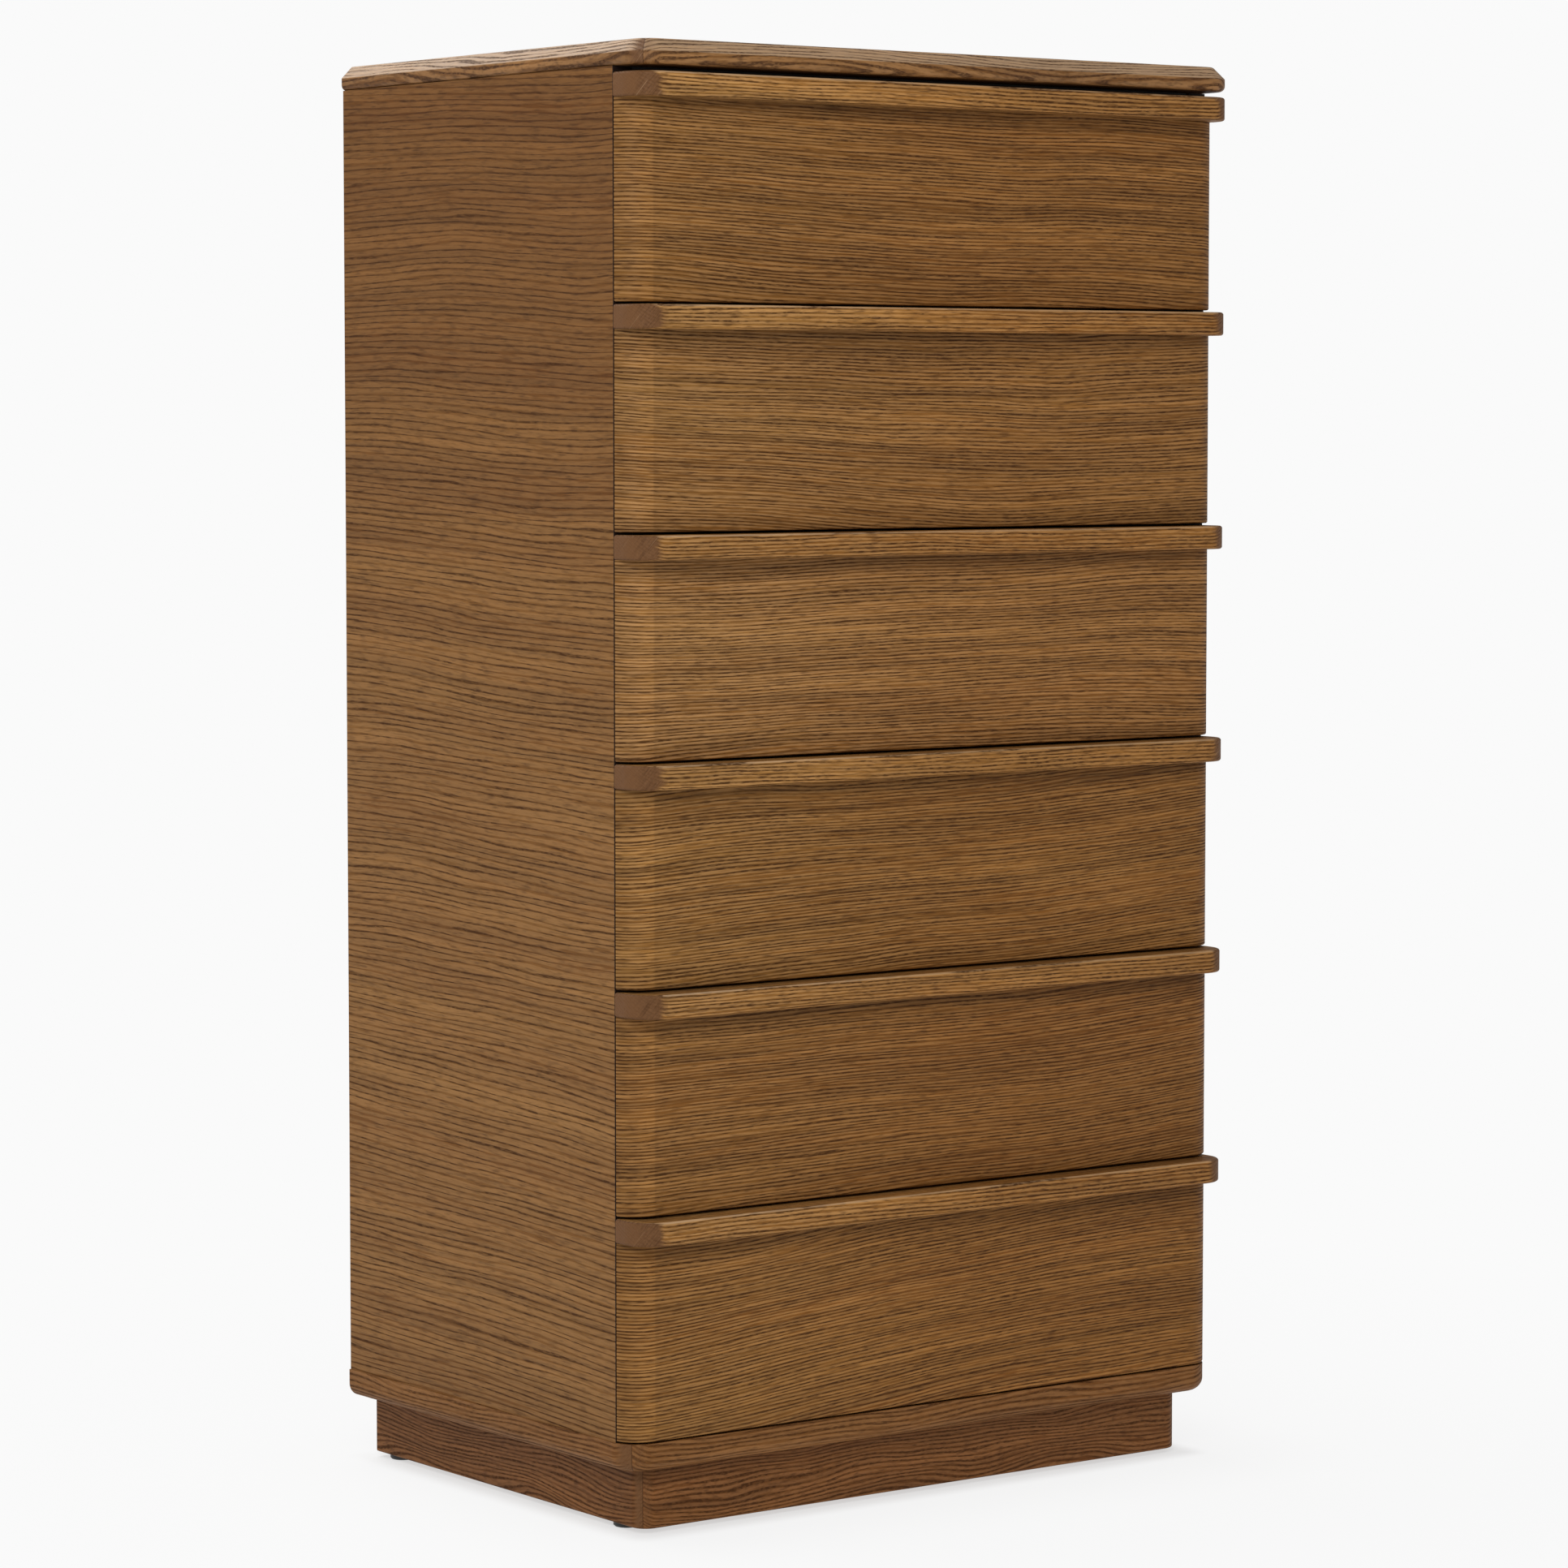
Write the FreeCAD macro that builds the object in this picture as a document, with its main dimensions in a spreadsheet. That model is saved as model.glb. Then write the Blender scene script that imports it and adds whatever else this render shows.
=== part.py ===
"""Tall chest of six drawers, as a parametric document.

Frame: millimetres, +Z up, the drawer fronts face -Y, X runs along the width.
The origin is on the floor, midway across the width and the depth.
"""
import FreeCAD, Part
import math
import os
import Sketcher

doc = FreeCAD.newDocument("TallChest")
sheet = doc.addObject("Spreadsheet::Sheet", "Dimensions")

DIMENSIONS = [
    # overall
    ("wide", 658, "width over the top board, bottom board, fronts and lips"),
    ("deep", 470, "depth from the front of the lips to the back of the case"),
    ("tall", 1270, "height from the floor to the top surface"),
    ("corner", 26.5, "plan radius of every rounded front corner"),
    ("proud", 1.5, "how far boards and fronts stand out past each side panel"),
    # top and bottom boards
    ("topThick", 22, "thickness of the top board"),
    ("topBevel", 11, "bevel round the upper edge of the top board"),
    ("topSoft", 5, "rounding of the lower edge of the top board"),
    ("topUpper", 4, "softening of the bevel's upper edge"),
    ("topLower", 2, "softening of the bevel's lower edge"),
    ("bottomThick", 25, "thickness of the bottom board"),
    ("bottomRound", 12, "quarter round along the lower edge of the bottom board"),
    ("edging", 27, "width of the solid strips round the boards"),
    ("bottomTop", 83, "height of the bottom board's upper face"),
    # case
    ("sideThick", 19.5, "thickness of a side panel"),
    ("rebate", 8, "rebate for the back panel, both ways"),
    ("backThick", 6, "thickness of the back panel"),
    ("railHigh", 18, "thickness of a rail"),
    ("railDeep", 60, "front-to-back size of a front rail"),
    ("railBack", 80, "height of the upper back rail"),
    ("railRise", 172, "rail's underside above the lower edge of its drawer"),
    ("frontGap", 2, "gap between a drawer front and the side panel behind it"),
    ("wallHole", 2.75, "radius of a wall fixing hole"),
    ("wallPitch", 400, "distance between the two wall fixing holes"),
    ("wallDrop", 40, "wall fixing holes below the top board"),
    # plinth
    ("plinthSide", 26, "plinth set in from the edge of the bottom board"),
    ("plinthFront", 19.5, "plinth set back from the front of the bottom board"),
    ("plinthBack", 5, "plinth set in from the back of the case"),
    ("plinthCorner", 15, "plan radius of the plinth's front corners"),
    ("plinthThick", 21, "thickness of a plinth board"),
    ("plinthSoft", 2, "softening of the plinth's lower outer edge"),
    ("glideHigh", 4.5, "height of a glide under the plinth"),
    ("glideRad", 12, "radius of a glide"),
    ("glideSide", 15, "glide centre in from the side of the plinth"),
    ("glideFront", 43, "glide centre back from the front of the plinth"),
    ("glideRear", 22, "glide centre forward from the back of the plinth"),
    ("spigotRad", 3, "radius of a glide's spigot"),
    ("spigotLong", 12, "length of a glide's spigot"),
    # drawers
    ("drawerFirst", 84.5, "height of the lowest drawer front's lower edge"),
    ("pitch", 193.4, "height from one drawer to the next"),
    ("frontThick", 20, "thickness of a drawer front"),
    ("panelHigh", 170.2, "height of a drawer front below its lip"),
    ("lipHigh", 21, "height of a lip"),
    ("lipReach", 20.5, "how far a lip stands out past the drawer front"),
    ("lipSoft", 2.5, "softening of a lip's edges"),
    ("frontSoft", 1.6, "softening of a drawer front's lower edge"),
    ("tongueThick", 6, "thickness of the tongue between front and lip"),
    ("tongueHigh", 5, "height of that tongue"),
    ("boxWide", 590, "width over a drawer box"),
    ("boxLong", 400, "length of a drawer box behind its front"),
    ("boxHigh", 145, "height of a drawer box"),
    ("boxRise", 14, "drawer box above the lower edge of the front"),
    ("boxSide", 12, "thickness of a drawer box side and back"),
    ("boxFront", 14, "thickness of a drawer box front"),
    ("boxFloor", 5, "thickness of a drawer bottom"),
    ("floorRise", 12, "drawer bottom above the lower edge of the box"),
    ("groove", 5, "depth of the grooves that hold the drawer bottom"),
    # telescopic runners
    ("runnerLong", 400, "length of a runner's case member"),
    ("runnerStart", 2, "runner behind the front edge of the side panel"),
    ("runnerRise", 86, "runner's centre above the lower edge of the front"),
    ("runnerSteel", 1.2, "thickness of the runner steel"),
    ("outerHigh", 45, "height of the case member"),
    ("outerReach", 9.6, "case member's flange, from the side panel"),
    ("middleHigh", 38.4, "height of the middle member"),
    ("middleFrom", 2.4, "middle member's web, from the side panel"),
    ("middleReach", 10.6, "middle member's flange, from the side panel"),
    ("middleLong", 394, "length of the middle member"),
    ("innerHigh", 31.8, "height of the drawer member"),
    ("innerFrom", 5.2, "drawer member's flange, from the side panel"),
    ("innerLong", 394, "length of the drawer member"),
    # screws
    ("screwRad", 1.75, "radius of a runner, back or front screw"),
    ("screwPlay", 0.15, "play round a screw in its hole"),
    ("headRad", 3.4, "radius of a screw head"),
    ("headHigh", 1.1, "height of a low screw head"),
    ("screwLong", 14, "length of a runner or back screw"),
    ("frontScrew", 28, "length of a drawer front screw"),
    ("screwFirst", 40, "first screw from the end of a runner"),
    ("screwStep", 150, "distance between screws along a case member"),
    ("innerStep", 250, "distance between screws along a drawer member"),
    ("backFirst", 80, "lowest back screw above the bottom board"),
    ("backStep", 251, "distance between back screws"),
    ("frontColumn", 230, "front screws either side of the middle"),
    ("frontRow", 80, "distance between the two rows of front screws"),
]
DRAWERS = 6
BACK_SCREWS = 5


class Size:
    """A length in millimetres that keeps the sheet expression it comes from."""

    def __init__(self, text, value):
        self.text = text
        self.value = value

    @staticmethod
    def of(other):
        if isinstance(other, Size):
            return other
        return Size(f"({other})", float(other))

    def __add__(self, other):
        other = Size.of(other)
        return Size(f"({self.text} + {other.text})", self.value + other.value)

    def __sub__(self, other):
        other = Size.of(other)
        return Size(f"({self.text} - {other.text})", self.value - other.value)

    def __mul__(self, other):
        other = Size.of(other)
        return Size(f"({self.text} * {other.text})", self.value * other.value)

    def __truediv__(self, number):
        return Size(f"({self.text} / {number})", self.value / number)

    def __neg__(self):
        return Size(f"(0 - {self.text})", -self.value)

    def root(self):
        return Size(f"sqrt({self.text})", math.sqrt(max(self.value, 0.0)))

    def __radd__(self, other):
        return Size.of(other) + self

    def __rsub__(self, other):
        return Size.of(other) - self


def fill_sheet():
    """Write every dimension into the sheet and hand back its Size by name."""
    sizes = {}
    sheet.set("A1", "dimension in mm")
    for row, (name, value, meaning) in enumerate(DIMENSIONS, start=2):
        sheet.set(f"A{row}", meaning)
        sheet.set(f"B{row}", str(value))
        sheet.setAlias(f"B{row}", name)
        sizes[name] = Size(f"Dimensions.{name}", float(value))
    doc.recompute()
    return sizes


S = fill_sheet()
ZERO = Size("0", 0.0)


def bind(obj, path, size):
    """Tie one property of an object to its sheet expression."""
    obj.setExpression(path, Size.of(size).text)


def place(obj, x=ZERO, y=ZERO, z=ZERO):
    """Bind an object's position; its turn, if any, is left alone."""
    for axis, size in (("x", x), ("y", y), ("z", z)):
        bind(obj, f"Placement.Base.{axis}", size)
    return obj


# ---------------------------------------------------------------- sketching

def new_body(label):
    body = doc.addObject("PartDesign::Body", label)
    if hasattr(body, "AllowCompound"):
        body.AllowCompound = True
    return body


def new_sketch(body, role, label, lift=ZERO):
    """A sketch on one of the body's own origin planes, lifted along its normal."""
    sketch = body.newObject("Sketcher::SketchObject", label)
    plane = [f for f in body.Origin.OriginFeatures if f.Role == role][0]
    sketch.AttachmentSupport = [(plane, "")]
    sketch.MapMode = "FlatFace"
    if lift.value:
        bind(sketch, "AttachmentOffset.Base.z", lift)
    return sketch


def pin_point(sketch, index, end, x, y):
    """Fix one point of the sketch at the given distances from its origin."""
    for kind, size in (("DistanceX", x), ("DistanceY", y)):
        number = sketch.addConstraint(
            Sketcher.Constraint(kind, -1, 1, index, end, size.value))
        sketch.setExpression(f"Constraints[{number}]", size.text)


def polygon(sketch, corners):
    """A closed outline of straight lines through corners of Size pairs."""
    points = [FreeCAD.Vector(x.value, y.value, 0) for x, y in corners]
    count = len(points)
    first = sketch.GeometryCount
    for i in range(count):
        line = Part.LineSegment(points[i], points[(i + 1) % count])
        sketch.addGeometry(line)
    for i in range(count):
        following = first + (i + 1) % count
        sketch.addConstraint(
            Sketcher.Constraint("Coincident", first + i, 2, following, 1))
    for i, (x, y) in enumerate(corners):
        pin_point(sketch, first + i, 1, x, y)


def rectangle(sketch, left, low, right, high):
    polygon(sketch, [(left, low), (right, low), (right, high), (left, high)])


def circle(sketch, x, y, radius):
    centre = FreeCAD.Vector(x.value, y.value, 0)
    index = sketch.addGeometry(
        Part.Circle(centre, FreeCAD.Vector(0, 0, 1), radius.value))
    pin_point(sketch, index, 3, x, y)
    number = sketch.addConstraint(Sketcher.Constraint("Radius", index, radius.value))
    sketch.setExpression(f"Constraints[{number}]", radius.text)


def rounded_plan(sketch, half, depth, radius):
    """A plan outline, front at y = 0, with both front corners rounded.

    Where the piece is shallower than the radius, the corner arcs run straight
    into the back edge and there is no straight side.
    """
    whole = depth.value > radius.value
    sunk = (radius * 2 * depth - depth * depth).root()
    wide = half if whole else half - radius + sunk
    ring_y = radius if whole else depth
    corners = [(radius - half, ZERO), (half - radius, ZERO), (wide, ring_y)]
    if whole:
        corners += [(half, depth), (-half, depth)]
    corners.append((-wide, ring_y))
    points = [FreeCAD.Vector(x.value, y.value, 0) for x, y in corners]
    count = len(points)
    for i in range(count):
        start, end = points[i], points[(i + 1) % count]
        if i in (1, count - 1):
            side = 1 if i == 1 else -1
            lean = 0.70710678 * radius.value
            middle = FreeCAD.Vector(side * (half.value - radius.value + lean),
                                    radius.value - lean, 0)
            sketch.addGeometry(Part.Arc(start, middle, end))
        else:
            sketch.addGeometry(Part.LineSegment(start, end))
    ends = [(1, 2)] * count
    for i in range(count):
        following = (i + 1) % count
        sketch.addConstraint(Sketcher.Constraint(
            "Coincident", i, ends[i][1], following, ends[following][0]))
    for i, (x, y) in enumerate(corners):
        pin_point(sketch, i, ends[i][0], x, y)
    for i in (1, count - 1):
        number = sketch.addConstraint(Sketcher.Constraint("Radius", i, radius.value))
        sketch.setExpression(f"Constraints[{number}]", radius.text)


# ------------------------------------------------------------ solid features

def pad(body, sketch, length, label, reverse=False):
    feature = body.newObject("PartDesign::Pad", label)
    feature.Profile = sketch
    feature.Reversed = reverse
    bind(feature, "Length", length)
    doc.recompute()
    return feature


def pocket(body, sketch, depth, label):
    """Cut a sketch into the body, on whichever side of it the body lies."""
    before = body.Shape.Volume
    feature = body.newObject("PartDesign::Pocket", label)
    feature.Profile = sketch
    bind(feature, "Length", depth)
    doc.recompute()
    if body.Shape.Volume > before - 0.01:
        feature.Reversed = True
        doc.recompute()
    if body.Shape.Volume > before - 0.01:
        raise RuntimeError(f"{label} removes nothing")
    return feature


def edge_names(shape, test):
    """Names of the edges whose end and middle points all pass the test."""
    names = []
    for number, edge in enumerate(shape.Edges, start=1):
        middle = edge.valueAt((edge.FirstParameter + edge.LastParameter) / 2)
        points = [v.Point for v in edge.Vertexes] + [middle]
        if all(test(p) for p in points):
            names.append(f"Edge{number}")
    return names


def dress(body, kind, size, label, test):
    """Chamfer or fillet the edges of the body's last feature that pass the test."""
    base = body.Tip
    names = edge_names(base.Shape, test)
    feature = body.newObject(f"PartDesign::{kind}", label)
    feature.Base = (base, names)
    bind(feature, "Radius" if kind == "Fillet" else "Size", size)
    doc.recompute()
    return feature


def pattern(body, feature, plane_role, span, count, label):
    """Repeat a feature along one of the body's own axes."""
    rows = body.newObject("PartDesign::LinearPattern", label)
    rows.Originals = [feature]
    axis = [f for f in body.Origin.OriginFeatures if f.Role == plane_role][0]
    rows.Direction = (axis, [""])
    rows.Occurrences = count
    bind(rows, "Length", span)
    body.Tip = rows
    doc.recompute()
    return rows


def at(value, target, slack=0.01):
    return abs(value - target) < slack


def block(label, corner, size):
    """A plain board: a box at a corner, both given as three Sizes."""
    box = doc.addObject("Part::Box", label)
    for side, length in zip(("Length", "Width", "Height"), size):
        bind(box, side, length)
    place(box, *corner)
    return box


def rod(label, centre, radius, length, along):
    """A cylinder that starts at a centre and runs along +X, -X, +Y, -Y or +Z."""
    turns = {"+X": ((0, 1, 0), 90), "-X": ((0, 1, 0), -90),
             "+Y": ((1, 0, 0), -90), "-Y": ((1, 0, 0), 90), "+Z": ((0, 0, 1), 0)}
    axis, angle = turns[along]
    tube = doc.addObject("Part::Cylinder", label)
    tube.Placement = FreeCAD.Placement(
        FreeCAD.Vector(0, 0, 0), FreeCAD.Rotation(FreeCAD.Vector(*axis), angle))
    bind(tube, "Radius", radius)
    bind(tube, "Height", length)
    place(tube, *centre)
    return tube


def common(label, base, tool):
    both = doc.addObject("Part::Common", label)
    both.Base = base
    both.Tool = tool
    return both


def cut(label, base, tool):
    rest = doc.addObject("Part::Cut", label)
    rest.Base = base
    rest.Tool = tool
    return rest


def fuse(label, shapes):
    whole = doc.addObject("Part::MultiFuse", label)
    whole.Shapes = shapes
    return whole


def mirrored(label, source):
    """The same piece on the other side of the chest's middle plane."""
    twin = doc.addObject("Part::Mirroring", label)
    twin.Source = source
    twin.Base = FreeCAD.Vector(0, 0, 0)
    twin.Normal = FreeCAD.Vector(1, 0, 0)
    return twin


def group(label, pieces):
    """Separate solids of one kind, kept apart in one node."""
    bundle = doc.addObject("Part::Compound", label)
    bundle.Links = pieces
    return bundle


NODES = []


def keep(node):
    """Mark a finished sub-part; its Label is the name of its file."""
    NODES.append(node)
    return node


# ------------------------------------------------------- shared positions

HALF = S["wide"] / 2
FRONT = -S["deep"] / 2                       # front of the lips and the top board
BACK = S["deep"] / 2
FACE = FRONT + S["lipReach"]                 # front of the drawer fronts
FRONT_BACK = FACE + S["frontThick"]          # back of the drawer fronts
SIDE_FRONT = FRONT_BACK + S["frontGap"]      # front edge of the side panels
SIDE_OUT = HALF - S["proud"]
SIDE_IN = SIDE_OUT - S["sideThick"]
CASE_TOP = S["tall"] - S["topThick"]         # underside of the top board
CASE_LOW = S["bottomTop"]
PLINTH_TOP = S["bottomTop"] - S["bottomThick"]
PLINTH_LOW = S["glideHigh"]
PLINTH_HALF = HALF - S["plinthSide"]
PLINTH_FACE = FACE + S["plinthFront"]
PLINTH_BACK = BACK - S["plinthBack"]
BACK_FACE = BACK - S["rebate"]               # back panel's inner face


def drawer_low(index):
    """Lower edge of a drawer front; drawer 0 is the lowest."""
    return S["drawerFirst"] + S["pitch"] * index


# ------------------------------------------------------------- the case

def mitre_block(label, half, thick, high, face, low):
    """A wide block whose ends run back at 45 degrees, as a front board's do."""
    wedge = doc.addObject("Part::Wedge", label)
    for name, size in (("Xmin", -half), ("Xmax", half), ("X2min", thick - half),
                       ("X2max", half - thick), ("Ymin", ZERO), ("Ymax", thick),
                       ("Zmin", ZERO), ("Zmax", high), ("Z2min", ZERO), ("Z2max", high)):
        bind(wedge, name, size)
    return place(wedge, ZERO, face, low)


def edged_board(name, depth, thick, front):
    """Split a shaped board into its veneered panel and three solid strips.

    The strips are mitred where they meet, in the middle of the rounded corners.
    """
    form = doc.getObject(f"{name}_form")
    strip = S["edging"]
    low = form_low[name]
    inner = HALF - strip
    panel_box = block(f"{name}_panel_block", (-inner, front + strip, low),
                      (inner * 2, depth - strip, thick))
    keep(common(f"{name}_panel", form, panel_box))
    mitre = mitre_block(f"{name}_mitre_block", HALF, strip, thick, front, low)
    strips = [common(f"{name}_front_strip", form, mitre)]
    for side, edge in (("right", inner), ("left", -HALF)):
        slab = block(f"{name}_{side}_block", (edge, front, low), (strip, depth, thick))
        whole = common(f"{name}_{side}_whole", form, slab)
        strips.append(cut(f"{name}_{side}_strip", whole, mitre))
    keep(group(f"{name}_edging", strips))


form_low = {"top": CASE_TOP, "bottom": PLINTH_TOP}


def make_top():
    """Top board: bevelled round its upper edge, square at the back."""
    thick = S["topThick"]
    depth = S["deep"]
    body = new_body("top_form")
    sketch = new_sketch(body, "XY_Plane", "top_plan")
    rounded_plan(sketch, HALF, depth, S["corner"])
    pad(body, sketch, thick, "top_thickness")
    top, back = thick.value, depth.value
    dress(body, "Chamfer", S["topBevel"], "top_bevel",
          lambda p: at(p.z, top) and not at(p.y, back) or at(p.z, top) and
          at(abs(p.x), HALF.value) and at(p.y, back))
    shoulder = top - S["topBevel"].value
    dress(body, "Fillet", S["topUpper"], "top_bevel_upper_edge",
          lambda p: at(p.z, top) and
          (p.y < back - 0.01 or abs(p.x) > shoulder and not at(p.x, 0)))
    dress(body, "Fillet", S["topLower"], "top_bevel_lower_edge",
          lambda p: at(p.z, shoulder) and (p.y < back - 0.01 or at(abs(p.x), HALF.value)))
    dress(body, "Fillet", S["topSoft"], "top_soft",
          lambda p: at(p.z, 0) and (p.y < back - 0.01 or at(abs(p.x), HALF.value)))
    place(body, ZERO, FRONT, CASE_TOP)
    edged_board("top", depth, thick, FRONT)


def make_bottom():
    """Bottom board: its lower edge is a quarter round above the plinth."""
    thick = S["bottomThick"]
    depth = S["deep"] - S["lipReach"]
    body = new_body("bottom_form")
    sketch = new_sketch(body, "XY_Plane", "bottom_plan")
    rounded_plan(sketch, HALF, depth, S["corner"])
    pad(body, sketch, thick, "bottom_thickness")
    edge, back = HALF.value, depth.value
    dress(body, "Fillet", S["bottomRound"], "bottom_quarter_round",
          lambda p: at(p.z, 0) and (p.y < back - 0.01 or at(abs(p.x), edge)))
    place(body, ZERO, FACE, PLINTH_TOP)
    edged_board("bottom", depth, thick, FACE)


def make_sides():
    """Side panels, rebated for the back and drilled for runners and back."""
    deep = BACK - SIDE_FRONT
    tall = CASE_TOP - CASE_LOW
    body = new_body("right_side_panel")
    plan = new_sketch(body, "XY_Plane", "side_plan")
    rectangle(plan, ZERO, ZERO, S["sideThick"], deep)
    pad(body, plan, tall, "side_height")
    rebate = new_sketch(body, "XY_Plane", "side_rebate_plan")
    rectangle(rebate, ZERO, deep - S["rebate"], S["rebate"], deep)
    pocket(body, rebate, tall, "side_rebate")
    hole = S["screwRad"] + S["screwPlay"]
    row = new_sketch(body, "YZ_Plane", "side_runner_holes_plan")
    for step in range(3):
        circle(row, S["runnerStart"] + S["screwFirst"] + S["screwStep"] * step,
               S["drawerFirst"] - CASE_LOW + S["runnerRise"], hole)
    holes = pocket(body, row, S["screwLong"], "side_runner_holes")
    pattern(body, holes, "Z_Axis", S["pitch"] * (DRAWERS - 1), DRAWERS,
            "side_runner_hole_rows")
    column = new_sketch(body, "XZ_Plane", "side_back_holes_plan", -(deep - S["rebate"]))
    for step in range(BACK_SCREWS):
        circle(column, S["rebate"] / 2, S["backFirst"] + S["backStep"] * step, hole)
    pocket(body, column, S["screwLong"], "side_back_holes")
    place(body, SIDE_IN, SIDE_FRONT, CASE_LOW)
    keep(body)
    keep(mirrored("left_side_panel", body))


def make_back():
    """Back panel in the rebates, with screw holes and two wall fixing holes."""
    half = SIDE_IN + S["rebate"] - 0.5
    tall = CASE_TOP - CASE_LOW
    body = new_body("back_panel")
    face = new_sketch(body, "XZ_Plane", "back_face")
    rectangle(face, -half, ZERO, half, tall)
    pad(body, face, S["backThick"], "back_thickness", reverse=True)
    holes = new_sketch(body, "XZ_Plane", "back_holes_plan")
    for side in (-1, 1):
        for step in range(BACK_SCREWS):
            circle(holes, (SIDE_IN + S["rebate"] / 2) * side,
                   S["backFirst"] + S["backStep"] * step,
                   S["screwRad"] + S["screwPlay"])
        circle(holes, S["wallPitch"] / 2 * side, tall - S["wallDrop"], S["wallHole"])
    pocket(body, holes, S["backThick"], "back_holes")
    place(body, ZERO, BACK_FACE, CASE_LOW)
    keep(body)


def make_rails():
    """Front rails between the drawers, one under the top, one at the back."""
    rails = []
    front = SIDE_FRONT + 2
    for index in range(DRAWERS - 1):
        low = drawer_low(index) + S["railRise"]
        rails.append(block(f"front_rail_{index + 1}", (-SIDE_IN, front, low),
                           (SIDE_IN * 2, S["railDeep"], S["railHigh"])))
    rails.append(block("top_front_rail", (-SIDE_IN, front, CASE_TOP - S["railHigh"]),
                       (SIDE_IN * 2, S["railDeep"], S["railHigh"])))
    plank = block("back_rail_plank",
                  (-SIDE_IN, BACK_FACE - S["railHigh"], CASE_TOP - S["railBack"]),
                  (SIDE_IN * 2, S["railHigh"], S["railBack"]))
    bores = [rod(f"back_rail_bore_{number}",
                 (S["wallPitch"] / 2 * side, BACK_FACE - S["railHigh"],
                  CASE_TOP - S["wallDrop"]),
                 S["wallHole"], S["railHigh"], "+Y")
             for number, side in ((1, -1), (2, 1))]
    rails.append(cut("back_rail", plank, fuse("back_rail_bores", bores)))
    keep(group("case_rails", rails))


def make_plinth():
    """Plinth: four boards, mitred at the rounded front corners."""
    high = PLINTH_TOP - PLINTH_LOW
    depth = PLINTH_BACK - PLINTH_FACE
    thick = S["plinthThick"]
    body = new_body("plinth_form")
    plan = new_sketch(body, "XY_Plane", "plinth_plan")
    rounded_plan(plan, PLINTH_HALF, depth, S["plinthCorner"])
    pad(body, plan, high, "plinth_height")
    well = new_sketch(body, "XY_Plane", "plinth_well_plan")
    rectangle(well, thick - PLINTH_HALF, thick, PLINTH_HALF - thick, depth - thick)
    pocket(body, well, high, "plinth_well")
    edge, back = PLINTH_HALF.value, depth.value
    inner = edge - thick.value
    dress(body, "Fillet", S["plinthSoft"], "plinth_soft",
          lambda p: at(p.z, 0) and (at(abs(p.x), edge) or
                                    p.y < thick.value - 0.01 and abs(p.x) < edge + 0.01)
          and not (at(abs(p.x), inner) and p.y > thick.value - 0.01) and
          not at(p.y, thick.value) and (p.y < back - 0.01 or at(abs(p.x), edge)))
    pins = new_sketch(body, "XY_Plane", "plinth_spigot_holes_plan")
    for x, y in glide_spots():
        circle(pins, x, y - PLINTH_FACE, S["spigotRad"] + S["screwPlay"])
    pocket(body, pins, S["spigotLong"] + 1, "plinth_spigot_holes")
    place(body, ZERO, PLINTH_FACE, PLINTH_LOW)

    mitre = mitre_block("plinth_mitre_block", PLINTH_HALF, thick, high,
                        PLINTH_FACE, PLINTH_LOW)
    boards = [common("plinth_front_board", body, mitre)]
    for name, low in (("right", PLINTH_HALF - thick), ("left", -PLINTH_HALF)):
        slab = block(f"plinth_{name}_block", (low, PLINTH_FACE, PLINTH_LOW),
                     (thick, depth, high))
        side = common(f"plinth_{name}_side", body, slab)
        boards.append(cut(f"plinth_{name}_board", side, mitre))
    slab = block("plinth_back_block",
                 (thick - PLINTH_HALF, PLINTH_BACK - thick, PLINTH_LOW),
                 ((PLINTH_HALF - thick) * 2, thick, high))
    boards.append(common("plinth_back_board", body, slab))
    keep(group("plinth", boards))


def glide_spots():
    """Plan positions of the four glides, in the row's own frame."""
    x = PLINTH_HALF - S["glideSide"]
    front = PLINTH_FACE + S["glideFront"]
    rear = PLINTH_BACK - S["glideRear"]
    return [(x * side, y) for side in (-1, 1) for y in (front, rear)]


def make_glides():
    """Round glides: a soft-edged disc turned with its spigot."""
    glides = []
    radius, high = S["glideRad"], S["glideHigh"]
    soft = Size.of(1.2)
    for number, (x, y) in enumerate(glide_spots(), start=1):
        body = new_body(f"glide_{number}")
        half = new_sketch(body, "XZ_Plane", f"glide_{number}_section")
        polygon(half, [(ZERO, ZERO), (radius - soft, ZERO), (radius, soft),
                       (radius, high), (S["spigotRad"], high),
                       (S["spigotRad"], high + S["spigotLong"]),
                       (ZERO, high + S["spigotLong"])])
        turned = body.newObject("PartDesign::Revolution", f"glide_{number}_turned")
        turned.Profile = half
        turned.ReferenceAxis = (half, ["V_Axis"])
        turned.Angle = 360
        doc.recompute()
        place(body, x, y, ZERO)
        glides.append(body)
    keep(group("glide_feet", glides))


# ------------------------------------------------------- runners and screws

def channel(label, web, reach, high, long, flip, holes=()):
    """A rolled channel along Y: its web at one depth, its flanges to another.

    web and reach are measured inwards from the side panel's inner face. With
    flip the flanges point back towards the panel, otherwise to the drawer.
    """
    steel = S["runnerSteel"]
    top = high / 2
    near, far = (web, web + steel) if not flip else (web + steel, web)
    body = new_body(label)
    section = new_sketch(body, "XZ_Plane", f"{label}_section")
    polygon(section, [(-near, -top), (-reach, -top), (-reach, steel - top),
                      (-far, steel - top), (-far, top - steel), (-reach, top - steel),
                      (-reach, top), (-near, top)])
    pad(body, section, long, f"{label}_length", reverse=True)
    if holes:
        row = new_sketch(body, "YZ_Plane", f"{label}_holes_plan", -(web + steel))
        for y in holes:
            circle(row, y, ZERO, S["screwRad"] + S["screwPlay"])
        pocket(body, row, steel * 2, f"{label}_holes")
    return body


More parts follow.
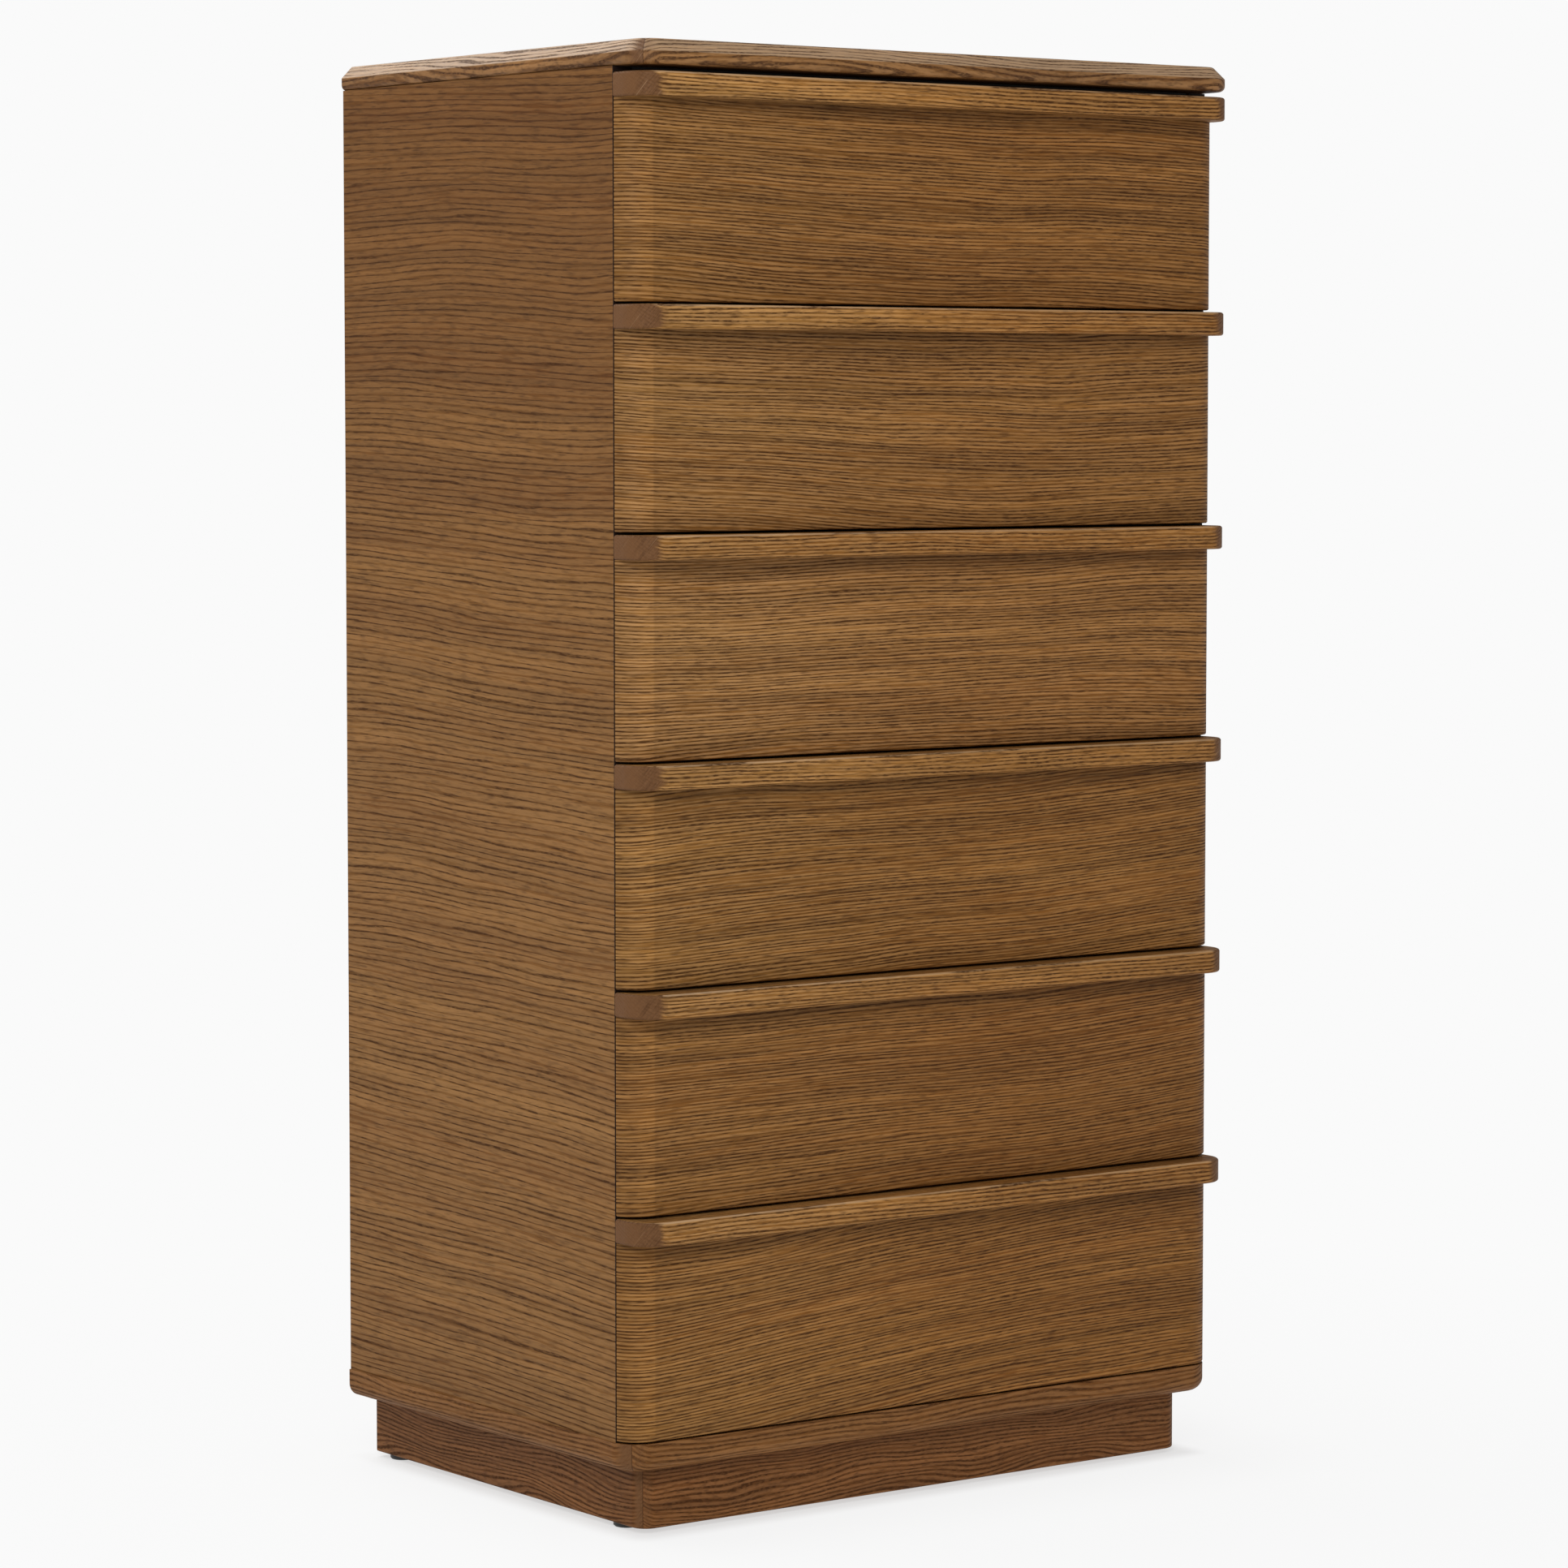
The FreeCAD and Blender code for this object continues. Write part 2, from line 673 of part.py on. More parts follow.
def screw(label, length):
    """A low-headed screw along +X: its head stands at x < 0."""
    body = new_body(label)
    half = new_sketch(body, "XY_Plane", f"{label}_section")
    polygon(half, [(-S["headHigh"], ZERO), (length, ZERO), (length, S["screwRad"] * 0.3),
                   (length - 2, S["screwRad"]), (ZERO, S["screwRad"]),
                   (ZERO, S["headRad"]), (-S["headHigh"] * 0.4, S["headRad"]),
                   (-S["headHigh"], S["headRad"] * 0.6)])
    turned = body.newObject("PartDesign::Revolution", f"{label}_turned")
    turned.Profile = half
    turned.ReferenceAxis = (half, ["H_Axis"])
    turned.Angle = 360
    doc.recompute()
    return body, turned


def screw_rows(label, length, spans, point):
    """Screws in one or two directions, pointing along +X, -Y or +Y."""
    body, turned = screw(label, length)
    last = turned
    turns = {"+X": FreeCAD.Rotation(), "-Y": FreeCAD.Rotation(FreeCAD.Vector(0, 0, 1), -90)}
    body.Placement = FreeCAD.Placement(FreeCAD.Vector(0, 0, 0), turns[point])
    if len(spans) == 1:
        role, span, count = spans[0]
        pattern(body, last, role, span, count, f"{label}_row")
        return body
    both = body.newObject("PartDesign::MultiTransform", f"{label}_grid")
    both.Originals = [turned]
    steps = []
    for number, (role, span, count) in enumerate(spans, start=1):
        step = body.newObject("PartDesign::LinearPattern", f"{label}_step_{number}")
        axis = [f for f in body.Origin.OriginFeatures if f.Role == role][0]
        step.Direction = (axis, [""])
        step.Occurrences = count
        bind(step, "Length", span)
        steps.append(step)
    both.Transformations = steps
    body.Tip = both
    doc.recompute()
    return body


def make_case_runners():
    """Case members of the runners, six each side, and the case's screws."""
    runners = []
    y = SIDE_FRONT + S["runnerStart"]
    holes = [S["screwFirst"] + S["screwStep"] * step for step in range(3)]
    for index in range(DRAWERS):
        z = drawer_low(index) + S["runnerRise"]
        right = channel(f"case_runner_{index + 1}", ZERO, S["outerReach"],
                        S["outerHigh"], S["runnerLong"], False, holes)
        place(right, SIDE_IN, y, z)
        runners += [right, mirrored(f"case_runner_{index + 1}_left", right)]
    keep(group("cabinet_runners", runners))

    grid = screw_rows("runner_screws", S["screwLong"],
                      [("Y_Axis", S["screwStep"] * 2, 3),
                       ("Z_Axis", S["pitch"] * (DRAWERS - 1), DRAWERS)], "+X")
    place(grid, SIDE_IN - S["runnerSteel"], y + S["screwFirst"],
          S["drawerFirst"] + S["runnerRise"])
    column = screw_rows("back_screws", S["screwLong"],
                        [("Z_Axis", S["backStep"] * (BACK_SCREWS - 1), BACK_SCREWS)], "-Y")
    place(column, SIDE_IN + S["rebate"] / 2, BACK_FACE + S["backThick"],
          CASE_LOW + S["backFirst"])
    keep(group("case_screws", [grid, mirrored("runner_screws_left", grid),
                               column, mirrored("back_screws_left", column)]))


# ------------------------------------------------------------- the drawers

def make_drawer(index):
    """One drawer: front, lip, box, bottom, runner members and screws."""
    name = f"drawer_{index + 1}"
    low = drawer_low(index)
    make_front(name, low)
    make_lip(name, low)
    make_box(name, low)
    make_drawer_runners(name, index, low)


def front_screw_spots():
    """Sideways and upward positions of the screws that hold a front on."""
    middle = S["boxRise"] + S["boxHigh"] / 2 + 8
    return [(S["frontColumn"] * side, middle + S["frontRow"] / 2 * row)
            for side in (-1, 1) for row in (-1, 1)]


def make_front(name, low):
    """Drawer front with rounded ends and a tongue along its upper edge."""
    thick = S["frontThick"]
    body = new_body(f"{name}_front")
    plan = new_sketch(body, "XY_Plane", f"{name}_front_plan")
    rounded_plan(plan, HALF, thick, S["corner"])
    pad(body, plan, S["panelHigh"], f"{name}_front_height")
    dress(body, "Fillet", S["frontSoft"], f"{name}_front_soft",
          lambda p: at(p.z, 0) and not at(p.y, thick.value) or
          at(p.z, 0) and at(p.y, thick.value) and abs(p.x) > HALF.value - 1)
    tongue = new_sketch(body, "XY_Plane", f"{name}_tongue_plan", S["panelHigh"])
    reach = HALF - S["corner"]
    rectangle(tongue, -reach, thick / 2 - S["tongueThick"] / 2,
              reach, thick / 2 + S["tongueThick"] / 2)
    pad(body, tongue, S["tongueHigh"], f"{name}_tongue")
    holes = new_sketch(body, "XZ_Plane", f"{name}_front_holes_plan", -thick)
    for x, z in front_screw_spots():
        circle(holes, x, z, S["screwRad"] + S["screwPlay"])
    pocket(body, holes, S["frontScrew"] - S["boxFront"] + 1, f"{name}_front_holes")
    place(body, ZERO, FACE, low)
    keep(body)


def make_lip(name, low):
    """Solid rail along a front's upper edge: it is the drawer's pull."""
    deep = S["lipReach"] + S["frontThick"]
    high = S["lipHigh"]
    body = new_body(f"{name}_lip")
    plan = new_sketch(body, "XY_Plane", f"{name}_lip_plan")
    rounded_plan(plan, HALF, deep, S["corner"])
    pad(body, plan, high, f"{name}_lip_height")
    back, top = deep.value, high.value
    dress(body, "Fillet", S["lipSoft"], f"{name}_lip_soft",
          lambda p: (at(p.z, 0) and p.y < S["lipReach"].value + 0.01 or at(p.z, top))
          and (p.y < back - 0.01 or at(abs(p.x), HALF.value)))
    slot = new_sketch(body, "XY_Plane", f"{name}_lip_slot_plan")
    reach = HALF - S["corner"] + 0.5
    middle = S["lipReach"] + S["frontThick"] / 2
    half = S["tongueThick"] / 2 + 0.1
    rectangle(slot, -reach, middle - half, reach, middle + half)
    pocket(body, slot, S["tongueHigh"] + 0.5, f"{name}_lip_slot")
    place(body, ZERO, FRONT, low + S["panelHigh"])
    keep(body)


def make_box(name, low):
    """Drawer box: grooved sides and front, a back on top of the bottom."""
    base = low + S["boxRise"]
    half = S["boxWide"] / 2
    inner = half - S["boxSide"]
    floor = S["floorRise"]
    groove = S["groove"]
    thick = S["boxFloor"]
    hole = S["screwRad"] + S["screwPlay"]

    side = new_body(f"{name}_right_box_side")
    plan = new_sketch(side, "XY_Plane", f"{name}_box_side_plan")
    rectangle(plan, ZERO, ZERO, S["boxSide"], S["boxLong"])
    pad(side, plan, S["boxHigh"], f"{name}_box_side_height")
    slot = new_sketch(side, "XZ_Plane", f"{name}_box_side_groove_plan")
    rectangle(slot, ZERO, floor, groove, floor + thick)
    pocket(side, slot, S["boxLong"], f"{name}_box_side_groove")
    holes = new_sketch(side, "YZ_Plane", f"{name}_box_side_holes_plan", S["boxSide"])
    for step in range(2):
        circle(holes, S["frontGap"] + S["runnerStart"] + S["screwFirst"]
               + S["innerStep"] * step,
               S["runnerRise"] - S["boxRise"], hole)
    pocket(side, holes, S["boxSide"], f"{name}_box_side_holes")
    dress(side, "Fillet", Size.of(1.5), f"{name}_box_side_soft",
          lambda p: at(p.z, S["boxHigh"].value) and 0.01 < p.y < S["boxLong"].value
          or at(p.z, S["boxHigh"].value) and (at(p.x, 0) or at(p.x, S["boxSide"].value)))
    place(side, inner, FRONT_BACK, base)
    keep(group(f"{name}_box_sides", [side, mirrored(f"{name}_left_box_side", side)]))

    front = new_body(f"{name}_box_front")
    face = new_sketch(front, "XZ_Plane", f"{name}_box_front_face")
    rectangle(face, -inner, ZERO, inner, S["boxHigh"])
    pad(front, face, S["boxFront"], f"{name}_box_front_thickness", reverse=True)
    slot = new_sketch(front, "YZ_Plane", f"{name}_box_front_groove_plan", -inner)
    rectangle(slot, S["boxFront"] - groove, floor, S["boxFront"], floor + thick)
    pocket(front, slot, inner * 2, f"{name}_box_front_groove")
    holes = new_sketch(front, "XZ_Plane", f"{name}_box_front_holes_plan")
    for x, z in front_screw_spots():
        circle(holes, x, z - S["boxRise"], hole)
    pocket(front, holes, S["boxFront"], f"{name}_box_front_holes")
    place(front, ZERO, FRONT_BACK, base)
    back = block(f"{name}_box_back",
                 (-inner, FRONT_BACK + S["boxLong"] - S["boxSide"], base + floor + thick),
                 (inner * 2, S["boxSide"], S["boxHigh"] - floor - thick))
    keep(group(f"{name}_box_ends", [front, back]))

    keep(block(f"{name}_bottom",
               (-inner - groove, FRONT_BACK + S["boxFront"] - groove, base + floor),
               ((inner + groove) * 2, S["boxLong"] - S["boxFront"] + groove, thick)))


def make_drawer_runners(name, index, low):
    """Drawer members and middle members of one drawer's pair of runners."""
    z = low + S["runnerRise"]
    y = SIDE_FRONT + S["runnerStart"]
    play = SIDE_IN - S["boxWide"] / 2
    holes = [S["screwFirst"] + S["innerStep"] * step for step in range(2)]
    right = channel(f"{name}_inner_runner", play - S["runnerSteel"], S["innerFrom"],
                    S["innerHigh"], S["innerLong"], True, holes)
    place(right, SIDE_IN, y, z)
    keep(group(f"{name}_runners", [right, mirrored(f"{name}_inner_runner_left", right)]))

    middle = channel(f"{name}_middle_runner", S["middleFrom"], S["middleReach"],
                     S["middleHigh"], S["middleLong"], False)
    place(middle, SIDE_IN, y, z)
    keep(group(f"middle_runners_{index + 1}",
               [middle, mirrored(f"{name}_middle_runner_left", middle)]))

    fixings = []
    spots = [(x, row) for x, row in front_screw_spots()]
    for number, (x, rise) in enumerate(spots, start=1):
        body, _ = screw(f"{name}_front_screw_{number}", S["frontScrew"])
        body.Placement = FreeCAD.Placement(
            FreeCAD.Vector(0, 0, 0), FreeCAD.Rotation(FreeCAD.Vector(0, 0, 1), -90))
        place(body, x, FRONT_BACK + S["boxFront"], low + rise)
        fixings.append(body)
    row = screw_rows(f"{name}_runner_screws", S["boxSide"] - 2,
                     [("Y_Axis", S["innerStep"], 2)], "+X")
    row.Placement = FreeCAD.Placement(
        FreeCAD.Vector(0, 0, 0), FreeCAD.Rotation(FreeCAD.Vector(0, 0, 1), 180))
    place(row, SIDE_IN - play + S["runnerSteel"],
          y + S["screwFirst"] + S["innerStep"], z)
    fixings += [row, mirrored(f"{name}_runner_screws_left", row)]
    keep(group(f"{name}_screws", fixings))


# ------------------------------------------------------------- build and write

def check():
    """Refuse to write anything while an object or a sub-part is faulty."""
    for obj in doc.Objects:
        if "Invalid" in obj.State or "Error" in obj.State:
            raise RuntimeError(f"{obj.Label} did not compute: {obj.State}")
    labels = [node.Label for node in NODES]
    if len(set(labels)) != len(labels) or len(labels) > 60:
        raise RuntimeError("the sub-part names clash or are too many")
    for node in NODES:
        if node.Shape.isNull() or not node.Shape.isValid() or not node.Shape.Solids:
            raise RuntimeError(f"{node.Label} has no valid solid")


def write():
    os.makedirs("parts", exist_ok=True)
    for node in NODES:
        node.Shape.exportStep(f"parts/{node.Label}.step")
        box = node.Shape.optimalBoundingBox(False, False)
        print(f"{node.Label:24s} {len(node.Shape.Solids):3d} solids  "
              f"{node.Shape.Volume / 1000:9.1f} cm3  "
              f"x {box.XMin:8.2f} {box.XMax:8.2f}  y {box.YMin:8.2f} {box.YMax:8.2f}  "
              f"z {box.ZMin:8.2f} {box.ZMax:8.2f}")


make_top()
make_bottom()
make_sides()
make_back()
make_rails()
make_plinth()
make_glides()
make_case_runners()
for number in range(DRAWERS):
    make_drawer(number)
doc.recompute()
check()
write()
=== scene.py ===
# %% [markdown]
# # A tall chest of six drawers in dark stained oak
#
# The chest comes in as finished parts: boards, drawer fronts, runners and
# screws, each already in its place. This lesson gives those parts their looks:
# the grain of every board, the steel, the plastic, the floor and the light.
# The parts are never moved, so every number below is read from them where it
# can be.

# %% Load the chest
import math

import bpy
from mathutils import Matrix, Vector


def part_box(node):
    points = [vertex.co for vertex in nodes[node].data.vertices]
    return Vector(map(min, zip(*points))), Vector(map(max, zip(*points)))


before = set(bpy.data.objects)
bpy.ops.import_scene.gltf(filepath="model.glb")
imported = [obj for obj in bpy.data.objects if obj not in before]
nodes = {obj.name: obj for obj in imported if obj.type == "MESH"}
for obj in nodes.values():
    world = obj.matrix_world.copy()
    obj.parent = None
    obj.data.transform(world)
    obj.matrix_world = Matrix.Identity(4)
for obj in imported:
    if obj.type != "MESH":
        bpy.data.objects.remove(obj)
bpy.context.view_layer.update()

# %% [markdown]
# ## The camera
#
# The chest is seen from the left of its front, a little above the middle, by a
# long lens from about four and a half metres, so its edges hardly converge. A
# camera can be aimed by hand, by a constraint or by a direction. A direction
# is used, because it gives the same picture every time.

# %% Stand the camera to the left of the front
STAND = Vector((-2.8093, -3.7801, 0.9589))
LOOK = Vector((0.59404, 0.80125, -0.0716))
lens = bpy.data.cameras.new("camera")
lens.sensor_width = 36.0
lens.lens = 118.9
camera = bpy.data.objects.new("camera", lens)
camera.location = STAND
camera.rotation_mode = "QUATERNION"
camera.rotation_quaternion = LOOK.to_track_quat("-Z", "Y")
bpy.context.scene.collection.objects.link(camera)
bpy.context.scene.camera = camera
bpy.context.scene.view_settings.view_transform = "Standard"
print("camera", round(math.degrees(math.atan2(LOOK.x, LOOK.y)), 1), "degrees round")

# %% [markdown]
# ## A way to write a finish
#
# A finish is a tree of nodes, and trees are long to write one node at a time.
# One small class wraps a socket. Sums on it add Math nodes, so a mask is
# written as plain arithmetic, and `node` adds any other node: settings first,
# then what its sockets hold. Colours and vectors never pass through the sums,
# because a Math node would turn them grey.

# %% One class for every sum on a surface
class Shade:
    """What a socket gives at each point of a surface: a number, a vector or a colour."""

    def __init__(self, tree, socket):
        self.tree, self.socket = tree, socket

    def node(self, kind, settings=None, sockets=None, out=0):
        made = self.tree.nodes.new(kind)
        for name, value in (settings or {}).items():
            setattr(made, name, value)
        for name, value in (sockets or {}).items():
            if isinstance(value, Shade):
                self.tree.links.new(value.socket, made.inputs[name])
            else:
                made.inputs[name].default_value = value
        return Shade(self.tree, made.outputs[out])

    def math(self, operation, first, second=0.0):
        return self.node("ShaderNodeMath", {"operation": operation}, {0: first, 1: second})

    def __add__(self, other):
        return self.math("ADD", self, other)

    def __sub__(self, other):
        return self.math("SUBTRACT", self, other)

    def __rsub__(self, other):
        return self.math("SUBTRACT", other, self)

    def __mul__(self, other):
        return self.math("MULTIPLY", self, other)

    def __truediv__(self, other):
        return self.math("DIVIDE", self, other)

    def __pow__(self, other):
        return self.math("POWER", self, other)

    def __abs__(self):
        return self.math("ABSOLUTE", self)

    def most(self, other=0.0):
        return self.math("MAXIMUM", self, other)

    __radd__, __rmul__ = __add__, __mul__

# %% [markdown]
# ## Small tools that every finish uses
#
# `stretch` squeezes space so that a round noise becomes a long streak, `noise`
# is the streak itself, `step` turns a number into a soft-edged mask, and
# `blend` lays one colour over another through a mask.

# %% Stretch, noise, step, blend
def stretch(at, scale, shift=(0.0, 0.0, 0.0)):
    return at.node("ShaderNodeVectorMath", {"operation": "MULTIPLY_ADD"},
                   {0: at, 1: scale, 2: shift})


def noise(at, detail=2.0, rough=0.5):
    return at.node("ShaderNodeTexNoise", {"noise_dimensions": "3D"},
                   {"Vector": at, "Scale": 1.0, "Detail": detail, "Roughness": rough})


def step(value, low, high):
    return value.node("ShaderNodeMapRange", {"interpolation_type": "SMOOTHSTEP"},
                      {"Value": value, "From Min": low, "From Max": high})


def blend(mask, under, over, how="MIX"):
    pick = lambda c: c if isinstance(c, Shade) else (*c, 1.0)
    return mask.node("ShaderNodeMix", {"data_type": "RGBA", "blend_type": how},
                     {0: mask, 6: pick(under), 7: pick(over)}, out=2)


def join(tree_of, along, side, up):
    return tree_of.node("ShaderNodeCombineXYZ", {}, {"X": along, "Y": side, "Z": up})


def new_finish(name):
    """An empty material, where it is on the part, and its three coordinates."""
    material = bpy.data.materials.new(name)
    material.use_nodes = True
    tree = material.node_tree
    shader = tree.nodes["Principled BSDF"]
    spot = Shade(tree, tree.nodes.new("ShaderNodeTexCoord").outputs["Object"])
    split = spot.node("ShaderNodeSeparateXYZ", {}, {0: spot})
    parts = [Shade(tree, split.socket.node.outputs[i]) for i in range(3)]
    return material, shader, spot, parts


def feed(shader, **sockets):
    """Plug what varies over the surface into the shader, and set what does not."""
    for name, value in sockets.items():
        entry = shader.inputs[name.replace("_", " ")]
        if isinstance(value, Shade):
            value.tree.links.new(value.socket, entry)
        else:
            entry.default_value = value


def bump(height, depth, strength=1.0):
    return height.node("ShaderNodeBump", {}, {"Height": height, "Distance": depth,
                                              "Strength": strength})


RIGHT, BACK, UP = 0, 1, 2


def faces(x, which):
    """How squarely the surface faces RIGHT, BACK or UP: 1 is fully, -1 fully away."""
    normal = Shade(x.tree, x.tree.nodes.new("ShaderNodeNewGeometry").outputs["Normal"])
    return normal.node("ShaderNodeSeparateXYZ", {}, {0: normal}, out=which)

# %% [markdown]
# ## Oak
#
# Oak is ring-porous. Each year it starts with a row of wide vessels, which the
# stain fills and turns nearly black, and ends with dense pale wood. A board
# shows those rows as broken dark lines along the grain. A picture of wood could
# be wrapped round the parts, but it would stretch on the rounded corners and
# show no end grain. So the rows are worked out in space instead: a height that
# wanders slowly is cut into years, and a streaky noise breaks each row into
# vessels. Whatever face is cut through that, the lines meet at the corner.

# %% The rows of vessels
DARK = (0.043, 0.0135, 0.0016)
WARM = (0.176, 0.070, 0.0120)
PALE = (0.255, 0.121, 0.0300)
GOLD = (0.410, 0.222, 0.0840)
# how much each streak counts in a vessel line, and the sum where it starts and is full
ROW, GAPS, DASH, ZONE, BAND = 0.46, 0.7, 0.8, 0.2, 0.3
LINE_STARTS, LINE_FULL = 1.28, 1.46
SOLID_LIE = 7.0     # in solid wood a streak reaches this much less far sideways than along


def grow(spot, height, year, seed, run=1.0, both=True, thin=0.0, sharp=1.0,
         calm=1.0):
    """Rows of vessels through `height`, and the finer and broader streaks between.

    `spot` is (along, side, up). `both` lets the grain run round a corner, as
    bent veneer does; solid wood shows its vessels as dots on the end instead.
    """
    lie = 1.0 if both else SOLID_LIE
    split = spot.node("ShaderNodeSeparateXYZ", {}, {0: spot})
    along, side = split, Shade(spot.tree, split.socket.node.outputs[1])
    place = join(spot, along, side, height)

    def streak(a, u, detail=1.0, rough=0.5):
        return noise(stretch(place, (a * run, a * run * lie, u), seed), detail, rough)

    slip = streak(4.0, 45.0) * 2.2 + streak(14.0, 150.0) * 1.0
    turn = (height / year + slip * calm) * (2.0 * math.pi)
    row = (turn.math("COSINE", turn) * 0.5 + 0.5) ** sharp
    gaps = streak(9.0, 0.50 / year, 2.5, 0.6)
    dash = streak(26.0, 1.9 / year, 2.0, 0.6)
    zone = streak(1.5, 22.0, 2.0)
    band = streak(3.5, 140.0, 2.0, 0.6)
    line = step(row * ROW + gaps * GAPS + dash * DASH + zone * ZONE + band * BAND - thin,
                LINE_STARTS, LINE_FULL)
    line = line * (step(streak(170.0, 900.0, 1.0), 0.38, 0.58) * 0.50 + 0.50)
    glow = step(dash * 1.0 - row * 0.30 + gaps * 0.3, 0.36, 0.60)
    thread = streak(80.0, 2.1 / year)
    hair = streak(90.0, 1000.0)
    return line, glow, thread, hair, zone, band

# %% [markdown]
# ## A board of oak
#
# The stain sits dark in the vessels and on the end grain, which drinks it, and
# leaves the dense wood golden. The vessels are also tiny grooves, so they lower
# the surface and dull it a little. Three things could carry that: paint, dents
# in the mesh, or a bump. The bump is enough for grooves a fifth of a millimetre
# deep.
#
# Slow changes of tone over a whole piece are fitted. They are painted light and
# shade: a front is darker towards its right and at its right end, its bent left
# end carries a painted highlight with painted shade at the arris and just beside
# it, a band below each lip is painted shade, and a side darkens with painted
# shade towards the top. They are part of the colour here, so they stay the same
# from every side and under every light.

# %% The height through the years, the painted shade and highlight, and the end grain
END_DARK = (0.100, 0.0430, 0.0160)
END_PALE = (0.185, 0.0870, 0.0340)
END_SIDE = (0.150, 0.0680, 0.0265)
RAY = (0.265, 0.155, 0.0800)
# the colour of the painted highlight on edges that face partly up
HIGHLIGHT_PALE = (0.580, 0.420, 0.2700)
GAP_SHADOW_BLACK = (0.012, 0.0060, 0.0040)
RIGHT_SHADE_TINT, TOP_SHADE_TINT = (0.90, 0.83, 0.72), (0.70, 0.625, 0.53)


def rise(place, parts, seed, lean, wander, swirl, solid):
    """A height that crosses one year after another: a slope, or rings round a heart."""
    along, side, up = parts
    lie = 1.0 if solid is None else 3.0
    drift = noise(stretch(place, (1.9, 1.9 * lie, 3.0), seed), 1.5) - 0.5
    arch = (noise(stretch(place, (5.5, 5.5 * lie, 17.0), seed), 1.0) - 0.5) * swirl
    if solid is None:
        return up + along * lean + drift * wander + arch
    heart_side, heart_up, sway = solid
    sideways = side - heart_side + drift * sway
    upward = up - heart_up + along * lean
    return (sideways * sideways + upward * upward) ** 0.5 + drift * wander + arch


def dim(body, factor):
    return body.node("ShaderNodeVectorMath", {"operation": "SCALE"}, {0: body, 3: factor})


def painted_light_tones(body, x, z, right_shade, turned, top_shade):
    """Painted shade and highlight over a whole piece, fitted: across a front,
    round its ends, below its lip, and up a side.
    """
    if right_shade is not None:
        # painted shade: the front grows darker and warmer towards its right
        body = blend(step(x, right_shade - 0.42, right_shade), body, RIGHT_SHADE_TINT, "MULTIPLY")
    if turned is not None:
        # painted highlight on the bent left end, with painted shade at the arris, just right
        # of the bend and at the right end
        left_end_light_shade = step(x, -0.329, -0.305) * 0.24 - step(x, -0.3035, -0.3005) * 0.15
        end_light_shade = left_end_light_shade + 0.88 - step(x, 0.22, 0.329) * 0.05
        # painted shade in a band just below the lip
        under_lip_shade = step(z, turned - 0.024, turned - 0.001) * 0.18
        body = dim(body, end_light_shade * (1.0 - under_lip_shade))
    if top_shade is not None:
        # painted shade: the side darkens towards the top
        body = blend(step(z, top_shade - 0.5, top_shade + 0.1), body, TOP_SHADE_TINT, "MULTIPLY")
    return body


def end_grain(spot, place, parts, seed, line, solid):
    """Cut vessels as specks, with rays and saw marks on a slant through them."""
    x, y, z = parts
    skew = join(spot, x + y, z - x * 0.9 + y * 0.9, z)
    fleck = noise(stretch(place, (500.0, 500.0, 500.0), seed), 1.0)
    slant = noise(stretch(skew, (25.0, 420.0, 25.0), seed), 1.0)
    hatch = noise(stretch(skew, (60.0, 1100.0, 60.0), seed), 1.0)
    body = blend(fleck * 0.8, END_DARK, END_PALE)
    body = blend(step(slant, 0.66, 0.74) * 0.6, body, RAY)
    body = blend(step(hatch, 0.50, 0.66) * 0.45 + line * 0.10, body, DARK)
    if solid is not None:
        body = blend(step(abs(faces(x, RIGHT)), 0.70, 0.97) * 0.75, body, END_SIDE)
    return body

